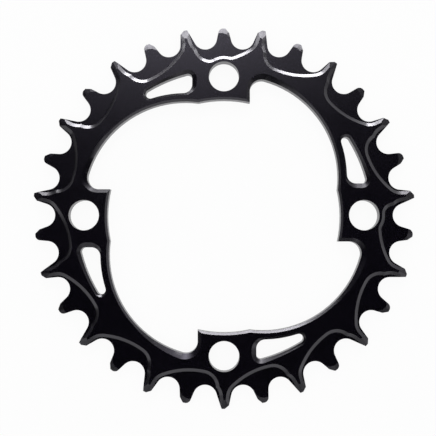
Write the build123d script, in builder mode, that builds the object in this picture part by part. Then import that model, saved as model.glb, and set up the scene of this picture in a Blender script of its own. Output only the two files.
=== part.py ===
from build123d import *
import os
from math import asin, ceil, cos, degrees, pi, radians, sin, sqrt, tan

# A single-speed bicycle chainring, machined from one aluminium plate. Millimetres and degrees. The ring
# lies on its back face at height 0 with its centre at the origin, and its front face looks up. Wide and
# narrow teeth alternate: a wide tooth fills the gap between two outer chain plates, and a narrow one,
# thinned by a pocket on either side, the gap between two inner plates.

# Plate
plate_thickness = 3.8
narrow_tooth_thickness = 2.0
cut_over = 0.2  # how far a cut runs past a face

# Bolt tabs, evenly spaced
bolt_count = 4
bolt_circle_diameter = 94.0
bolt_hole_diameter = 10.2
bolt_land = 0.9  # flat ring left round a hole where a pocket reaches it
tab_wall = 2.6  # between a hole and the opening
tab_left_across = 8.58
tab_step_across = 8.78
step_fillet = 4.0

# Chain and roller seats
chain_pitch = 12.7
bolt_to_pitch_circle = 13.5  # at least
seat_radius = 4.0

# Tooth tips, with the tooth pointing up: across from the tooth's axis to the right, up from the pitch
# circle. The chain runs onto the slanted side of a wide tip and the rounded side of a narrow one
wide_slant_across = -1.65
wide_slant_up = 2.45
wide_crest_left = -0.25
wide_crest_right = 0.82
wide_crest_up = 3.7
narrow_round_across = -1.86
narrow_round_up = 1.7
narrow_crest_left = -0.45
narrow_crest_right = 0.5
narrow_crest_up = 3.1
narrow_slant_across = 1.8
narrow_slant_up = 1.45

# Facets that thin the tips from both sides, each three straight passes round an upright axis below the
# pitch circle. They turn to the right of the tooth's axis
facet_turn = 20.0
facet_step = 23.0
wide_facet_across = -0.77
wide_facet_drop = 2.55
wide_facet_radius = 3.2
wide_facet_slope = 24.0
narrow_facet_across = -1.0
narrow_facet_drop = 2.15
narrow_facet_radius = 3.5
narrow_facet_slope = 20.0

# Chain pockets, one round each narrow tooth on both faces, cut with a tapered cutter. Sizes at the floor
pocket_cutter_radius = 2.5
pocket_wall_width = 1.15
pocket_wall_lean = 5.5
pocket_left_ledge = 0.85  # from the roller seat to the wall
pocket_right_ledge = 0.53
pocket_low_across = -4.5
pocket_low_drop = 7.98
pocket_heel_radius = 4.94

# Bays of the opening between the tabs
bay_rim = 12.73  # least distance from the pitch circle
bay_radius = 34.2

# Bevel round the opening on the front face, with a wide hollow that runs from each step along the bay
front_bevel_depth = 0.8
opening_bevel = 0.68
step_bevel = 1.18
step_fillet_growth = 1.5
hollow_growth = 1.33
hollow_shift_across = -2.04
hollow_shift_up = 1.32

# Lightening slots on the left of each tab, with a bevel that widens towards the bolt
slot_rim = 11.09  # distance from the pitch circle
slot_to_bay = 2.8
slot_to_bolt = 5.65
slot_small_end_radius = 1.55
slot_outer_fillet = 1.5
slot_inner_fillet = 3.05
slot_bevel = 0.75
slot_big_end_bevel = 1.6
outer_fillet_share = 0.33  # the most of the big end's wall that a fillet's radius may be
inner_fillet_share = 0.435

# Sizes that follow. The ring has the fewest pairs of teeth that leave room for the bolts
bolt_radius = bolt_circle_diameter / 2
hole_radius = bolt_hole_diameter / 2
tab_radius = bolt_radius - hole_radius - tab_wall
tab_spacing = 360 / bolt_count
tooth_pairs = ceil(pi / 2 / asin(chain_pitch / 2 / (bolt_radius + bolt_to_pitch_circle)))
tooth_angle = 180 / tooth_pairs
wide_angle = tooth_angle / 2
narrow_angle = wide_angle + tooth_angle
pitch_radius = chain_pitch / 2 / sin(radians(tooth_angle / 2))
seat_across = chain_pitch / 2
seat_up = pitch_radius * cos(radians(tooth_angle / 2))
pocket_depth = (plate_thickness - narrow_tooth_thickness) / 2
pocket_floor = plate_thickness - pocket_depth
slot_outer_radius = pitch_radius - slot_rim
ring_centre = Vector(0, 0)


def at_angle(across, up, angle):
    """A point given across and up in a frame that is turned until up points along the angle."""
    return Vector(across, up).rotate(Axis.Z, angle - 90)


def circle_crossing(first_centre, first_radius, second_centre, second_radius):
    """Where two circles cross, on the left of the way from the first centre to the second."""
    way = second_centre - first_centre
    along = (way.length**2 + first_radius**2 - second_radius**2) / (2 * way.length)
    aside = sqrt(first_radius**2 - along**2)
    ahead = way.normalized()
    return first_centre + ahead * along + ahead.rotate(Axis.Z, 90) * aside


def arc_about(centre, start, end):
    """The shorter arc about a centre from one point to another."""
    bisector = (start - centre).normalized() + (end - centre).normalized()
    ThreePointArc(start, centre + bisector.normalized() * (start - centre).length, end)


def flank(side, tip_across, tip_up, angle):
    """A tooth's flank on the right (1) or left (-1), from its touch with the seat to a corner of the tip."""
    corner = at_angle(tip_across, pitch_radius + tip_up, angle)
    to_seat = at_angle(0, pitch_radius, angle - side * tooth_angle / 2) - corner
    aside = degrees(asin(seat_radius / to_seat.length))
    to_touch = to_seat.normalized().rotate(Axis.Z, -side * aside)
    return Line(corner + to_touch * sqrt(to_seat.length**2 - seat_radius**2), corner)


# Outline of one wide and one narrow tooth, each with the roller seat on its left
with BuildLine() as tooth_pair:
    wide_right = flank(1, wide_crest_right, wide_crest_up, wide_angle)
    wide_left = flank(-1, wide_slant_across, wide_slant_up, wide_angle)
    wide_crest_corner = at_angle(wide_crest_left, pitch_radius + wide_crest_up, wide_angle)
    Polyline(wide_right @ 1, wide_crest_corner, wide_left @ 1)
    narrow_right = flank(1, narrow_slant_across, narrow_slant_up, narrow_angle)
    narrow_left = flank(-1, narrow_round_across, narrow_round_up, narrow_angle)
    narrow_crest = Line(
        at_angle(narrow_crest_right, pitch_radius + narrow_crest_up, narrow_angle),
        at_angle(narrow_crest_left, pitch_radius + narrow_crest_up, narrow_angle),
    )
    Line(narrow_right @ 1, narrow_crest @ 0)
    TangentArc(narrow_left @ 1, narrow_crest @ 1, tangent=narrow_left % 1)
    next_right = (wide_right @ 0).rotate(Axis.Z, 2 * tooth_angle)
    arc_about(at_angle(0, pitch_radius, tooth_angle), wide_left @ 0, narrow_right @ 0)
    arc_about(at_angle(0, pitch_radius, 2 * tooth_angle), narrow_left @ 0, next_right)


def upright_plane(foot, direction):
    """A plane through an upright axis at a foot point, with X along a level direction and Y up."""
    return Plane(foot, x_dir=direction, z_dir=direction.cross(Vector(0, 0, 1)))


def tip_facet(across, drop, radius, slope, height):
    """The cut that thins a tip from the front, for a tooth that points along X."""
    reach = drop + wide_crest_up + cut_over
    rise = cut_over / tan(radians(slope))
    fall = (reach - radius) * tan(radians(slope))
    foot = Vector(pitch_radius - drop, -across, height)
    with BuildPart() as facet:
        for turn in (facet_turn - facet_step, facet_turn, facet_turn + facet_step):
            with BuildSketch(upright_plane(foot, Vector(1, 0).rotate(Axis.Z, -turn))):
                Polygon((radius - rise, cut_over), (reach, cut_over), (reach, -fall), align=None)
            extrude(amount=chain_pitch / 4, both=True)
    return facet.part


def pocket_section(angle, height, cutter_radius):
    """The outline that the cutter leaves round the narrow tooth at an angle, where it has this radius.

    The cutter's axis keeps inside a core outline, which is the floor's less the cutter's tip radius. The
    sweep on the right touches the arc round the seat and is level at the lowest point, where the heel
    begins. The side walls run on a pitch past the tips.
    """
    right_centre = Vector(seat_across, seat_up)
    left_centre = Vector(-seat_across, seat_up)
    right_radius = seat_radius + pocket_right_ledge - pocket_cutter_radius
    left_radius = seat_radius + pocket_left_ledge - pocket_cutter_radius
    heel_radius = pocket_heel_radius - pocket_cutter_radius
    boss_radius = hole_radius + bolt_land + pocket_wall_width + pocket_cutter_radius

    low = Vector(pocket_low_across, pitch_radius - pocket_low_drop + pocket_cutter_radius)
    reach = right_centre - low
    sweep_radius = (reach.length**2 - right_radius**2) / 2 / (reach.Y - right_radius)
    sweep_centre = low + Vector(0, sweep_radius)
    sweep_end = right_centre + (right_centre - sweep_centre).normalized() * right_radius
    heel_centre = low + Vector(0, heel_radius)
    kink = circle_crossing(heel_centre, heel_radius, left_centre, left_radius)

    lean = radians(tooth_angle + pocket_wall_lean)
    wall_run = wide_crest_up + chain_pitch
    right_foot = right_centre + Vector(cos(lean), -sin(lean)) * right_radius
    left_foot = left_centre + Vector(-cos(lean), -sin(lean)) * left_radius
    right_end = right_foot + Vector(sin(lean), cos(lean)) * wall_run
    left_end = left_foot + Vector(-sin(lean), cos(lean)) * wall_run

    with BuildSketch(Plane.XY.offset(height).rotated((0, 0, angle - 90))) as section:
        with BuildLine():
            arc_about(right_centre, right_foot, sweep_end)
            arc_about(sweep_centre, sweep_end, low)
            arc_about(heel_centre, low, kink)
            arc_about(left_centre, kink, left_foot)
            Polyline(left_foot, left_end, right_end, right_foot)
        make_face()
        with PolarLocations(bolt_radius, bolt_count, start_angle=90 - angle):
            Circle(boss_radius, mode=Mode.SUBTRACT)
        offset(amount=cutter_radius)
    return section.sketch


# Each bay's circle comes within the rim of the pitch circle and meets the next tab's left corner
top = plate_thickness + cut_over
bevel_floor = plate_thickness - front_bevel_depth
bevel_over = cut_over / front_bevel_depth
left_corner = Vector(-tab_left_across, sqrt(tab_radius**2 - tab_left_across**2))
next_corner = left_corner.rotate(Axis.Z, -tab_spacing)
next_tab = Vector(0, tab_radius).rotate(Axis.Z, -tab_spacing)
bay_reach = pitch_radius - bay_rim
bay_centre = circle_crossing(ring_centre, bay_reach - bay_radius, next_corner, bay_radius)
to_next_tab = (next_tab - bay_centre).normalized()


def fillet_centre(step_across, fillet_radius, arc_centre, arc_radius):
    """The centre of the fillet between the top tab's step and the arc on its right."""
    across = step_across + fillet_radius
    rise = sqrt((arc_radius - fillet_radius) ** 2 - (across - arc_centre.X) ** 2)
    return Vector(across, arc_centre.Y + rise)


def bay_section(height, growth):
    """The outline of the bay on the right of the top tab, closed inside the opening.

    It goes up the tab's step, over the fillet and along the arc to the next tab. It grows from the bay's
    wall at nought to the hollow's edge on the front face at one.
    """
    step_across = tab_step_across - step_bevel * growth
    fillet_radius = step_fillet + step_fillet_growth * growth
    arc_centre = bay_centre + Vector(hollow_shift_across, hollow_shift_up) * growth
    arc_radius = bay_radius + hollow_growth * growth
    corner_centre = fillet_centre(step_across, fillet_radius, arc_centre, arc_radius)
    corner_end = corner_centre + (corner_centre - arc_centre).normalized() * fillet_radius
    arc_end = arc_centre + to_next_tab * arc_radius
    step_top = Vector(step_across, corner_centre.Y)
    step_low = Vector(step_across, bay_centre.Y)
    with BuildSketch(Plane.XY.offset(height)) as section:
        with BuildLine():
            Line(step_low, step_top)
            arc_about(corner_centre, step_top, corner_end)
            arc_about(arc_centre, corner_end, arc_end)
            Line(arc_end, step_low)
        make_face()
    return section.sketch


def slot_section(height, growth):
    """The outline of the slot on the left of the top tab.

    It grows from the slot's wall at nought to its bevel's edge on the front face at one.
    """
    bevel = slot_bevel * growth
    big_end_bevel = slot_big_end_bevel * growth
    inner_centre = bay_centre.rotate(Axis.Z, tab_spacing)
    inner_radius = bay_radius + slot_to_bay - bevel
    small_radius = slot_small_end_radius + bevel
    small_centre = circle_crossing(
        inner_centre, inner_radius + small_radius, ring_centre, slot_outer_radius - slot_small_end_radius
    )
    outward = small_centre.normalized()
    outer_start = small_centre + outward * small_radius
    inner_end = small_centre + (inner_centre - small_centre).normalized() * small_radius
    big_end = big_end_bevel - hole_radius - slot_to_bolt
    outer_end = Vector(big_end, sqrt((slot_outer_radius + big_end_bevel) ** 2 - big_end**2))
    inner_rise = sqrt(inner_radius**2 - (big_end - inner_centre.X) ** 2)
    inner_start = Vector(big_end, inner_centre.Y + inner_rise)
    wall = (outer_end - inner_start).length
    outer_fillet = min(slot_outer_fillet + big_end_bevel, wall * outer_fillet_share)
    inner_fillet = min(slot_inner_fillet + (bevel + big_end_bevel) / 2, wall * inner_fillet_share)
    with BuildSketch(Plane.XY.offset(height)) as section:
        with BuildLine():
            TangentArc(outer_start, outer_end, tangent=outward.rotate(Axis.Z, -90))
            Line(outer_end, inner_start)
            arc_about(inner_centre, inner_start, inner_end)
            arc_about(small_centre, inner_end, outer_start)
        make_face()
        fillet(section.vertices().sort_by_distance(outer_end)[0], radius=outer_fillet)
        fillet(section.vertices().sort_by_distance(inner_start)[0], radius=inner_fillet)
    return section.sketch


def lofted(sections):
    """A cut with straight walls from each outline to the next one up."""
    with BuildPart() as cut:
        for lower, upper in zip(sections, sections[1:]):
            loft(sections=[lower, upper], ruled=True)
    return cut.part


# The opening is a round hole within the tabs and a bay on the right of each of them. Its bevel is a cone
# round the hole and one along each bay
top_bevel = opening_bevel * (1 + bevel_over)
with BuildPart() as tab_hole:
    with BuildSketch(Plane.XZ):
        with BuildLine():
            Polyline(
                (0, top),
                (0, -cut_over),
                (tab_radius, -cut_over),
                (tab_radius, bevel_floor),
                (tab_radius + top_bevel, top),
                close=True,
            )
        make_face()
    revolve(axis=Axis.Z)

bay = lofted([bay_section(-cut_over, 0), bay_section(top, 0)])
hollow = lofted([bay_section(bevel_floor - cut_over, -bevel_over), bay_section(top, 1 + bevel_over)])
to_step = (fillet_centre(tab_step_across, step_fillet, bay_centre, bay_radius) - bay_centre).normalized()
bevel_foot = bay_radius - opening_bevel * bevel_over
with BuildPart() as bay_bevel:
    with BuildSketch(upright_plane(bay_centre, to_next_tab)):
        Polygon(
            (bevel_foot, bevel_floor - cut_over),
            (bay_radius + top_bevel, top),
            (bevel_foot, top),
            align=None,
        )
    revolve(axis=Axis(bay_centre, (0, 0, 1)), revolution_arc=to_next_tab.get_angle(to_step))

slot = lofted([slot_section(-cut_over, 0), slot_section(bevel_floor, 0), slot_section(top, 1 + bevel_over)])
mouth_radius = pocket_cutter_radius + pocket_wall_width * (pocket_depth + cut_over) / pocket_depth
pockets = [
    lofted([
        pocket_section(angle, pocket_floor, pocket_cutter_radius),
        pocket_section(angle, top, mouth_radius),
    ])
    for angle in (narrow_angle + 2 * tooth_angle * pair for pair in range(tooth_pairs))
]
wide_facet = tip_facet(
    wide_facet_across, wide_facet_drop, wide_facet_radius, wide_facet_slope, plate_thickness
)
narrow_facet = tip_facet(
    narrow_facet_across, narrow_facet_drop, narrow_facet_radius, narrow_facet_slope, pocket_floor
)

# The teeth and pockets of the two faces mirror each other about the middle of the plate
middle = Plane.XY.offset(plate_thickness / 2)
with BuildPart() as chainring:
    with BuildSketch(middle):
        with BuildLine():
            with PolarLocations(0, tooth_pairs):
                add(tooth_pair.line)
        make_face()
    extrude(amount=plate_thickness / 2)
    add(pockets, mode=Mode.SUBTRACT)
    with PolarLocations(0, tooth_pairs, start_angle=wide_angle):
        add(wide_facet, mode=Mode.SUBTRACT)
    with PolarLocations(0, tooth_pairs, start_angle=narrow_angle):
        add(narrow_facet, mode=Mode.SUBTRACT)
    mirror(about=middle)
    add(tab_hole.part, mode=Mode.SUBTRACT)
    for cut in (bay, hollow, bay_bevel.part, slot):
        with PolarLocations(0, bolt_count):
            add(cut, mode=Mode.SUBTRACT)
    with PolarLocations(bolt_radius, bolt_count):
        Hole(hole_radius)

os.makedirs("parts", exist_ok=True)
chainring.part.label = "chainring"
export_step(chainring.part, "parts/chainring.step")
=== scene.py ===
from math import pi

import bpy
import numpy as np
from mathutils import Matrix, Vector

# A black anodised bicycle chainring that lies on its back on a pale floor, seen from above. Metres and
# radians, with azimuths in degrees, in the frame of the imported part: X to the right of the picture, Y to
# its top, Z to the camera. An azimuth runs from X towards Y.
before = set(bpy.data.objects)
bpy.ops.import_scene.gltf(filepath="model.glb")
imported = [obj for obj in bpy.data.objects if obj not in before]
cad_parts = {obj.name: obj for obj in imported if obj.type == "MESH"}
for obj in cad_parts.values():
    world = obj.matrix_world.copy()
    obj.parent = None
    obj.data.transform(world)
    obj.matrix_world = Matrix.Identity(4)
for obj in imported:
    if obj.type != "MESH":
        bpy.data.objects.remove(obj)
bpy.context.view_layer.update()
MM = 0.001
WHITE = (1.0, 1.0, 1.0, 1.0)

# Camera
PICTURE_PIXELS = 436
FOCAL_PIXELS = 746.4
SENSOR_WIDTH = 36.0  # in millimetres, as the camera takes it
CAMERA_PLACE = (-1.84 * MM, -13.39 * MM, 253.44 * MM)
CAMERA_TILT = 0.0491  # away from straight down, towards the top of the picture
CENTRE_SHIFT_PIXELS = 0.5

# Edges of the ring
WELD_DISTANCE = 0.002 * MM
EDGE_ANGLE = 0.45

# Black anodised finish
OXIDE_DARK = (0.0006, 0.0002, 0.0023, 1.0)
OXIDE_LIGHT = (0.0016, 0.0007, 0.0039, 1.0)
OXIDE_INDEX = 1.7
OXIDE_TINT = (0.94, 0.92, 1.0, 1.0)
SATIN_ROUGHNESS = (0.24, 0.28)
CLOUD_SIZE = 6.0 * MM
CLOUD_DETAIL = 3.0
GRAIN_SIZE = 0.1 * MM
GRAIN_DETAIL = 2.0
GRAIN_HEIGHT = 0.0001 * MM

# Floor
FLOOR_HALF = 1.5
FLOOR_GAP = 0.02 * MM
FLOOR_COLOUR = (0.82, 0.82, 0.82, 1.0)
FLOOR_GLOW_SHARE = 0.93

# Screens that the gloss of the ring shows: a roof that is bright towards the top of the picture, and darker
# or brighter screens round it
ROOF_HEIGHT = 0.5
ROOF_SIDES = (-0.65, 0.62)
ROOF_ENDS = (-0.6, 0.49)
ROOF_COLOUR = (0.93, 0.90, 1.0, 1.0)
ROOF_GLOW = 7.7
ROOF_GLOW_CENTRE = (-0.045, 0.44, 0.5)
ROOF_GLOW_RADIUS = 0.34
FRONT_ROOF_HEIGHT = 0.49
FRONT_ROOF_ENDS = (-0.6, -0.25)
FRONT_ROOF_GLOW = 0.16
SIDE_SCREEN_RADIUS = 0.85
SIDE_SCREEN_STEPS = 2
LEFT_SCREEN_AZIMUTHS = (118.0, 200.0)
LEFT_SCREEN_LEVELS = (0.0, 0.6)
LEFT_SCREEN_GLOW = 0.07
RIGHT_SCREEN_AZIMUTHS = (-15.0, 60.0)
RIGHT_SCREEN_LEVELS = (0.1, 0.6)
RIGHT_SCREEN_GLOW = 0.35
TIP_CARD_RADIUS = 75.0 * MM
TIP_CARD_STEPS = 25
TIP_CARD_AZIMUTHS = (61.0, 121.0)
TIP_CARD_LEVELS = (7.5 * MM, 11.0 * MM)
TIP_CARD_GLOW = 9.0
FRONT_STRIP_ENDS = (-0.7, 0.7)
FRONT_STRIP_PLACE = -0.6
FRONT_STRIP_LEVELS = (0.16, 0.35)
FRONT_STRIP_GLOW = 0.0

# Lamps and room
SOFTBOX_PLACE = (0.02, 0.546, 0.382)
SOFTBOX_SIZE = (0.3, 0.117)
SOFTBOX_RADIANCE = 6.0
LOW_BOX_PLACE = (0.01, 0.76, 0.033)
LOW_BOX_SIZE = (0.54, 0.066)
LOW_BOX_RADIANCE = 45.0
AMBIENT_STRENGTH = 0.85


def grid_piece(name, points):
    """A surface through a grid of points, with one face between each four neighbours."""
    index = np.arange(points.shape[0] * points.shape[1]).reshape(points.shape[:2])
    faces = np.stack([index[:-1, :-1], index[:-1, 1:], index[1:, 1:], index[1:, :-1]], axis=-1)
    mesh = bpy.data.meshes.new(name)
    mesh.from_pydata(points.reshape(-1, 3).tolist(), [], faces.reshape(-1, 4).tolist())
    piece = bpy.data.objects.new(name, mesh)
    bpy.context.scene.collection.objects.link(piece)
    return piece


def sheet(name, across, along, height):
    """A flat rectangle: its four points are each pair of an x from across and a y from along, at height."""
    x, y = np.meshgrid(across, along)
    return grid_piece(name, np.stack([x, y, np.full_like(x, height)], axis=-1))


def strip(name, ends, along, levels):
    """An upright rectangle across the picture: each pair of an x from ends and a height from levels."""
    x, z = np.meshgrid(ends, levels)
    return grid_piece(name, np.stack([x, np.full_like(x, along), z], axis=-1))


def band(name, radius, azimuths, steps, levels):
    """An upright band round the axis: at even steps of azimuth, a point at the radius on both levels."""
    turn, height = np.meshgrid(np.radians(np.linspace(*azimuths, steps)), levels)
    return grid_piece(name, np.stack([radius * np.cos(turn), radius * np.sin(turn), height], axis=-1))


def new_material(name):
    """An empty material with its output node. Where it glows, only rays that meet it find it."""
    material = bpy.data.materials.new(name)
    material.use_nodes = True
    material.cycles.emission_sampling = "NONE"
    tree = material.node_tree
    tree.nodes.clear()
    return material, tree, tree.nodes.new("ShaderNodeOutputMaterial")


def noise(tree, size, detail):
    """Cloudy noise on Object coordinates with features of about this size."""
    place = tree.nodes.new("ShaderNodeTexCoord")
    texture = tree.nodes.new("ShaderNodeTexNoise")
    texture.inputs["Scale"].default_value = 1.0 / size
    texture.inputs["Detail"].default_value = detail
    tree.links.new(place.outputs["Object"], texture.inputs["Vector"])
    return texture.outputs["Fac"]


def black_anodised():
    """Dyed oxide on aluminium: near black with faint clouds in depth and gloss, and a fine etched grain."""
    material, tree, output = new_material("black_anodised")
    shader = tree.nodes.new("ShaderNodeBsdfPrincipled")
    shader.inputs["IOR"].default_value = OXIDE_INDEX
    shader.inputs["Specular Tint"].default_value = OXIDE_TINT
    clouds = noise(tree, CLOUD_SIZE, CLOUD_DETAIL)

    depth = tree.nodes.new("ShaderNodeMix")
    depth.data_type = "RGBA"
    depth.inputs["A"].default_value = OXIDE_DARK
    depth.inputs["B"].default_value = OXIDE_LIGHT
    tree.links.new(clouds, depth.inputs["Factor"])
    tree.links.new(depth.outputs["Result"], shader.inputs["Base Color"])

    gloss = tree.nodes.new("ShaderNodeMapRange")
    gloss.inputs["To Min"].default_value = SATIN_ROUGHNESS[0]
    gloss.inputs["To Max"].default_value = SATIN_ROUGHNESS[1]
    tree.links.new(clouds, gloss.inputs["Value"])
    tree.links.new(gloss.outputs["Result"], shader.inputs["Roughness"])

    grain = tree.nodes.new("ShaderNodeBump")
    grain.inputs["Distance"].default_value = GRAIN_HEIGHT
    tree.links.new(noise(tree, GRAIN_SIZE, GRAIN_DETAIL), grain.inputs["Height"])
    tree.links.new(grain.outputs["Normal"], shader.inputs["Normal"])
    tree.links.new(shader.outputs["BSDF"], output.inputs["Surface"])
    return material


def seen_directly(tree):
    """One for a ray from the camera, a mirror or glass, and nought for a ray that carries diffuse light."""
    path = tree.nodes.new("ShaderNodeLightPath")
    camera_or_mirror = tree.nodes.new("ShaderNodeMath")
    camera_or_mirror.operation = "MAXIMUM"
    tree.links.new(path.outputs["Is Camera Ray"], camera_or_mirror.inputs[0])
    tree.links.new(path.outputs["Is Glossy Ray"], camera_or_mirror.inputs[1])
    any_of_them = tree.nodes.new("ShaderNodeMath")
    any_of_them.operation = "MAXIMUM"
    tree.links.new(camera_or_mirror.outputs[0], any_of_them.inputs[0])
    tree.links.new(path.outputs["Is Transmission Ray"], any_of_them.inputs[1])
    return any_of_them.outputs[0]


def pale_paper():
    """Pale paper that mostly glows white where it is seen, and still takes a faint shadow."""
    material, tree, output = new_material("pale_paper")
    paper = tree.nodes.new("ShaderNodeBsdfDiffuse")
    paper.inputs["Color"].default_value = FLOOR_COLOUR
    glow = tree.nodes.new("ShaderNodeEmission")
    share = tree.nodes.new("ShaderNodeMath")
    share.operation = "MULTIPLY"
    share.inputs[1].default_value = FLOOR_GLOW_SHARE
    tree.links.new(seen_directly(tree), share.inputs[0])
    mix = tree.nodes.new("ShaderNodeMixShader")
    tree.links.new(share.outputs[0], mix.inputs["Fac"])
    tree.links.new(paper.outputs["BSDF"], mix.inputs[1])
    tree.links.new(glow.outputs["Emission"], mix.inputs[2])
    tree.links.new(mix.outputs["Shader"], output.inputs["Surface"])
    return material


def even_glow(name, glow):
    """A screen's material that glows evenly."""
    material, tree, output = new_material(name)
    light = tree.nodes.new("ShaderNodeEmission")
    light.inputs["Color"].default_value = (glow, glow, glow, 1.0)
    tree.links.new(light.outputs["Emission"], output.inputs["Surface"])
    return material


def roof_glow():
    """A dark roof that glows about one place: the glow times the square of one less distance over radius."""
    material, tree, output = new_material("roof")
    place = tree.nodes.new("ShaderNodeTexCoord")
    centred = tree.nodes.new("ShaderNodeMapping")
    centred.vector_type = "TEXTURE"
    centred.inputs["Location"].default_value = ROOF_GLOW_CENTRE
    centred.inputs["Scale"].default_value = (ROOF_GLOW_RADIUS,) * 3
    tree.links.new(place.outputs["Object"], centred.inputs["Vector"])
    fall = tree.nodes.new("ShaderNodeTexGradient")
    fall.gradient_type = "QUADRATIC_SPHERE"
    tree.links.new(centred.outputs["Vector"], fall.inputs["Vector"])
    strength = tree.nodes.new("ShaderNodeMath")
    strength.operation = "MULTIPLY"
    strength.inputs[1].default_value = ROOF_GLOW
    tree.links.new(fall.outputs["Fac"], strength.inputs[0])
    light = tree.nodes.new("ShaderNodeEmission")
    light.inputs["Color"].default_value = ROOF_COLOUR
    tree.links.new(strength.outputs[0], light.inputs["Strength"])
    tree.links.new(light.outputs["Emission"], output.inputs["Surface"])
    return material


def hang_screen(screen, material):
    """Gives a screen its material and shows it in the gloss of the ring only."""
    screen.data.materials.append(material)
    screen.visible_camera = False
    screen.visible_shadow = False
    screen.visible_diffuse = False


def hang_screens():
    """The roof and the screens round the ring."""
    hang_screen(sheet("roof", ROOF_SIDES, ROOF_ENDS, ROOF_HEIGHT), roof_glow())
    left = band(
        "left_screen", SIDE_SCREEN_RADIUS, LEFT_SCREEN_AZIMUTHS, SIDE_SCREEN_STEPS, LEFT_SCREEN_LEVELS
    )
    right = band(
        "right_screen", SIDE_SCREEN_RADIUS, RIGHT_SCREEN_AZIMUTHS, SIDE_SCREEN_STEPS, RIGHT_SCREEN_LEVELS
    )
    tip_card = band("tip_card", TIP_CARD_RADIUS, TIP_CARD_AZIMUTHS, TIP_CARD_STEPS, TIP_CARD_LEVELS)
    front_strip = strip("front_strip", FRONT_STRIP_ENDS, FRONT_STRIP_PLACE, FRONT_STRIP_LEVELS)
    front_roof = sheet("front_roof", ROOF_SIDES, FRONT_ROOF_ENDS, FRONT_ROOF_HEIGHT)
    hang_screen(left, even_glow("left_screen", LEFT_SCREEN_GLOW))
    hang_screen(right, even_glow("right_screen", RIGHT_SCREEN_GLOW))
    hang_screen(tip_card, even_glow("tip_card", TIP_CARD_GLOW))
    hang_screen(front_strip, even_glow("front_strip", FRONT_STRIP_GLOW))
    hang_screen(front_roof, even_glow("front_roof", FRONT_ROOF_GLOW))


def lay_floor():
    """A pale floor just under the ring's back face."""
    floor = sheet("floor", (-FLOOR_HALF, FLOOR_HALF), (-FLOOR_HALF, FLOOR_HALF), -FLOOR_GAP)
    floor.data.materials.append(pale_paper())


def white_room():
    """A world that is white where it is seen and lights the scene evenly from all round."""
    world = bpy.data.worlds.new("white_room")
    world.use_nodes = True
    tree = world.node_tree
    tree.nodes.clear()
    ambient = tree.nodes.new("ShaderNodeBackground")
    ambient.inputs["Color"].default_value = WHITE
    ambient.inputs["Strength"].default_value = AMBIENT_STRENGTH
    white = tree.nodes.new("ShaderNodeBackground")
    white.inputs["Color"].default_value = WHITE
    mix = tree.nodes.new("ShaderNodeMixShader")
    output = tree.nodes.new("ShaderNodeOutputWorld")
    tree.links.new(seen_directly(tree), mix.inputs["Fac"])
    tree.links.new(ambient.outputs["Background"], mix.inputs[1])
    tree.links.new(white.outputs["Background"], mix.inputs[2])
    tree.links.new(mix.outputs["Shader"], output.inputs["Surface"])
    bpy.context.scene.world = world


def soft_box(name, place, size, radiance):
    """A rectangular lamp that faces the ring. Its power is radiance times pi times its area."""
    lamp = bpy.data.lights.new(name, "AREA")
    lamp.shape = "RECTANGLE"
    lamp.size, lamp.size_y = size
    lamp.energy = radiance * pi * size[0] * size[1]
    light = bpy.data.objects.new(name, lamp)
    light.location = place
    light.rotation_euler = (-Vector(place)).to_track_quat("-Z", "Y").to_euler()
    light.visible_camera = False
    bpy.context.scene.collection.objects.link(light)


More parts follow.
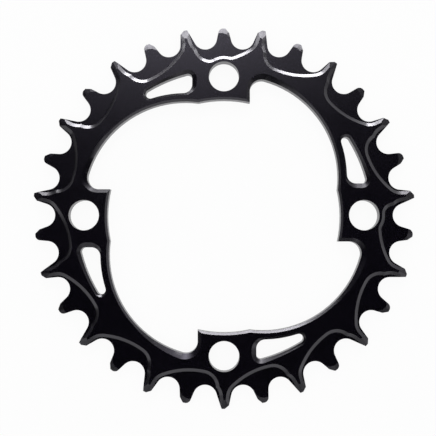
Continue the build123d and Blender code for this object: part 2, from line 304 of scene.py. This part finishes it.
def crisp_edges():
    """Nodes that shade round faces smoothly and flat ones flat, with a crisp edge where faces meet at more
    than an angle."""
    tree = bpy.data.node_groups.new("crisp_edges", "GeometryNodeTree")
    tree.interface.new_socket("Mesh", in_out="INPUT", socket_type="NodeSocketGeometry")
    tree.interface.new_socket("Mesh", in_out="OUTPUT", socket_type="NodeSocketGeometry")
    start = tree.nodes.new("NodeGroupInput")
    end = tree.nodes.new("NodeGroupOutput")
    angle = tree.nodes.new("GeometryNodeInputMeshEdgeAngle")
    crisp = tree.nodes.new("FunctionNodeCompare")
    crisp.operation = "GREATER_THAN"
    crisp.inputs["B"].default_value = EDGE_ANGLE
    tree.links.new(angle.outputs["Unsigned Angle"], crisp.inputs["A"])
    smooth = tree.nodes.new("GeometryNodeInputShadeSmooth")
    flat = tree.nodes.new("FunctionNodeBooleanMath")
    flat.operation = "NOT"
    tree.links.new(smooth.outputs["Smooth"], flat.inputs[0])
    normals = tree.nodes.new("GeometryNodeSetMeshNormal")
    normals.mode = "SHARPNESS"
    normals.inputs["Remove Custom"].default_value = True
    tree.links.new(start.outputs["Mesh"], normals.inputs["Mesh"])
    tree.links.new(crisp.outputs["Result"], normals.inputs["Edge Sharpness"])
    tree.links.new(flat.outputs["Boolean"], normals.inputs["Face Sharpness"])
    tree.links.new(normals.outputs["Mesh"], end.inputs["Mesh"])
    return tree


def finish_ring(ring):
    """Joins the ring's triangles, shades its faces and gives it the anodised finish."""
    ring.data.materials.clear()
    ring.data.materials.append(black_anodised())
    weld = ring.modifiers.new("weld", "WELD")
    weld.merge_threshold = WELD_DISTANCE
    shading = ring.modifiers.new("shading", "NODES")
    shading.node_group = crisp_edges()


def set_camera():
    """The camera of the picture, a little below the middle of the ring and tilted towards its top."""
    lens = bpy.data.cameras.new("camera")
    lens.sensor_width = SENSOR_WIDTH
    lens.lens = SENSOR_WIDTH * FOCAL_PIXELS / PICTURE_PIXELS
    lens.shift_x = -CENTRE_SHIFT_PIXELS / PICTURE_PIXELS
    lens.shift_y = CENTRE_SHIFT_PIXELS / PICTURE_PIXELS
    lens.clip_start = MM
    camera = bpy.data.objects.new("camera", lens)
    camera.location = CAMERA_PLACE
    camera.rotation_euler = (CAMERA_TILT, 0.0, 0.0)
    bpy.context.scene.collection.objects.link(camera)
    bpy.context.scene.camera = camera


finish_ring(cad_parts["chainring"])
lay_floor()
hang_screens()
white_room()
soft_box("softbox", SOFTBOX_PLACE, SOFTBOX_SIZE, SOFTBOX_RADIANCE)
soft_box("low_box", LOW_BOX_PLACE, LOW_BOX_SIZE, LOW_BOX_RADIANCE)
set_camera()
bpy.context.scene.view_settings.view_transform = "Standard"
